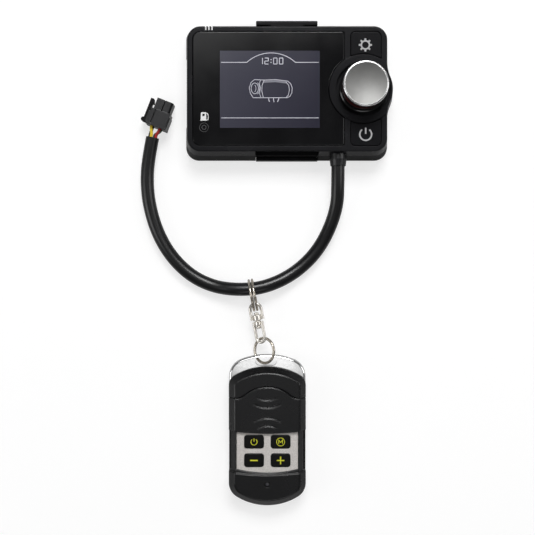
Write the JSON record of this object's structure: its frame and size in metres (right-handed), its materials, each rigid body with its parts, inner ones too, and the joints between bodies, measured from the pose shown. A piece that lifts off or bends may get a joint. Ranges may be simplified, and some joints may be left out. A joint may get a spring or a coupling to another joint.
{
  "type": "heater controller with remote",
  "caption": "Wall-bracket display controller for a diesel air heater, with rotary knob, pigtail cable and plug, and a slide-cover remote hung on the cable by a key ring.",
  "frame": {"origin": "middle of the wall bracket's flat back face, on the plane that everything lies on", "axes": "+Z out of the controller's face, +Y up its face towards the bracket's tab, +X to the right of the face towards the knob"},
  "size_m": [0.1249, 0.2376, 0.0291],
  "materials": {
    "black_abs": "fine matte",
    "bracket_black": "matte",
    "lens_black": "gloss",
    "lcd_glass": "gloss",
    "frame_plastic": "matte",
    "board_green": "satin",
    "led_clear": "clear",
    "screw_steel": "satin",
    "key_black": "satin",
    "switch_black": "matte",
    "encoder_metal": "satin",
    "nut_metal": "plated",
    "shaft_metal": "turned",
    "knob_black": "gloss",
    "ring_red": "translucent dark red",
    "cap_metal": "satin face, polished rim",
    "socket_white": "matte",
    "rubber_black": "satin",
    "sheath_black": "satin",
    "wire_black": "satin",
    "wire_yellow": "satin",
    "wire_red": "satin",
    "wire_green": "satin",
    "nylon_black": "satin",
    "terminal_tin": "tinned",
    "ring_nickel": "polished",
    "clasp_nickel": "polished",
    "jump_nickel": "polished",
    "fob_black": "gloss",
    "fob_cover_black": "gloss",
    "plate_silver": "brushed satin",
    "pad_black": "satin",
    "dome_steel": "polished",
    "led_blue": "clear",
    "cell_steel": "satin",
    "bail_chrome": "polished"
  },
  "bodies": {
    "controller": {"front_cover": "black_abs", "rear_cover": "black_abs", "wall_bracket": "bracket_black", "display_lens": "lens_black", "lcd_panel": "lcd_glass", "lcd_frame": "frame_plastic", "main_pcb": "board_green", "status_led": "led_clear", "case_screws": "screw_steel", "tact_switches": "switch_black", "encoder_body": "encoder_metal", "encoder_nut": "nut_metal", "cable_header": "socket_white", "cable_grommet": "rubber_black", "cable_sheath": "sheath_black", "wire_yellow": "wire_yellow", "wire_red": "wire_red", "wire_black": "wire_black", "wire_green": "wire_green", "connector_housing": "nylon_black", "crimp_terminals": "terminal_tin"},
    "knob_press": {"encoder_plunger": "switch_black"},
    "knob": {"encoder_shaft": "shaft_metal", "knob_skirt": "knob_black", "knob_light_ring": "ring_red", "knob_cap": "cap_metal"},
    "settings_key": {"settings_button": "key_black"},
    "power_key": {"power_button": "key_black"},
    "plug_latch": {"connector_latch": "nylon_black"},
    "key_ring": {"split_ring": "ring_nickel"},
    "clasp_upper": {"swivel_upper_loop": "clasp_nickel", "swivel_pin": "clasp_nickel"},
    "clasp_lower": {"swivel_lower_loop": "clasp_nickel"},
    "link_ring": {"jump_ring": "jump_nickel"},
    "remote": {"fob_front_shell": "fob_black", "fob_back_shell": "fob_black", "fob_face_plate": "plate_silver", "fob_dome_switches": "dome_steel", "fob_pcb": "board_green", "fob_led": "led_blue", "fob_battery": "cell_steel", "fob_battery_clip": "screw_steel", "fob_bail": "bail_chrome", "fob_screws": "screw_steel"},
    "remote_cover": {"fob_slide_cover": "fob_cover_black"},
    "remote_power_key": {"fob_power_key": "pad_black"},
    "remote_mode_key": {"fob_mode_key": "pad_black"},
    "remote_minus_key": {"fob_minus_key": "pad_black"},
    "remote_plus_key": {"fob_plus_key": "pad_black"}
  },
  "joints": [
    {"name": "knob_push", "type": "slide", "parent": "controller", "child": "knob_press", "axis": [0, 0, -1], "range_m": [0, 0.0005], "stiffness_N_per_m": 2000},
    {"name": "knob_turn", "type": "hinge", "parent": "knob_press", "child": "knob", "pos_m": [0.0366, 0, 0.016], "axis": [0, 0, 1], "continuous": true},
    {"name": "settings_push", "type": "slide", "parent": "controller", "child": "settings_key", "axis": [0, 0, -1], "range_m": [0, 0.0006], "stiffness_N_per_m": 600},
    {"name": "power_push", "type": "slide", "parent": "controller", "child": "power_key", "axis": [0, 0, -1], "range_m": [0, 0.0006], "stiffness_N_per_m": 600},
    {"name": "latch_rock", "type": "hinge", "parent": "controller", "child": "plug_latch", "pos_m": [-0.06863, -0.00988, 0.0049], "axis": [0, 0, 1], "range_deg": [0, 6], "stiffness_Nm_per_rad": 0.02},
    {"name": "ring_swing", "type": "hinge", "parent": "controller", "child": "key_ring", "pos_m": [-0.0171, -0.0965, 0.007], "axis": [-0.9842, -0.1771, 0], "range_deg": [0, 95]},
    {"name": "clasp_sway", "type": "hinge", "parent": "key_ring", "child": "clasp_upper", "pos_m": [-0.01527, -0.10698, 0.00813], "axis": [0, 0, 1], "range_deg": [-30, 30]},
    {"name": "clasp_swivel", "type": "hinge", "parent": "clasp_upper", "child": "clasp_lower", "pos_m": [-0.01448, -0.11141, 0.00813], "axis": [0.1771, -0.9842, 0], "continuous": true},
    {"name": "link_swing", "type": "hinge", "parent": "clasp_lower", "child": "link_ring", "pos_m": [-0.01244, -0.12273, 0.00813], "axis": [0.8159, 0.1468, 0.5592], "range_deg": [-15, 7]},
    {"name": "remote_swing", "type": "hinge", "parent": "link_ring", "child": "remote", "pos_m": [-0.0111, -0.1291, 0.007], "axis": [-1, 0, 0], "range_deg": [-10, 20]},
    {"name": "cover_slide", "type": "slide", "parent": "remote", "child": "remote_cover", "axis": [0, -1, 0], "range_m": [0, 0.02]},
    {"name": "remote_power_push", "type": "slide", "parent": "remote", "child": "remote_power_key", "axis": [0, 0, -1], "range_m": [0, 0.0004], "stiffness_N_per_m": 400},
    {"name": "remote_mode_push", "type": "slide", "parent": "remote", "child": "remote_mode_key", "axis": [0, 0, -1], "range_m": [0, 0.0004], "stiffness_N_per_m": 400},
    {"name": "remote_minus_push", "type": "slide", "parent": "remote", "child": "remote_minus_key", "axis": [0, 0, -1], "range_m": [0, 0.0004], "stiffness_N_per_m": 400},
    {"name": "remote_plus_push", "type": "slide", "parent": "remote", "child": "remote_plus_key", "axis": [0, 0, -1], "range_m": [0, 0.0004], "stiffness_N_per_m": 400}
  ]
}
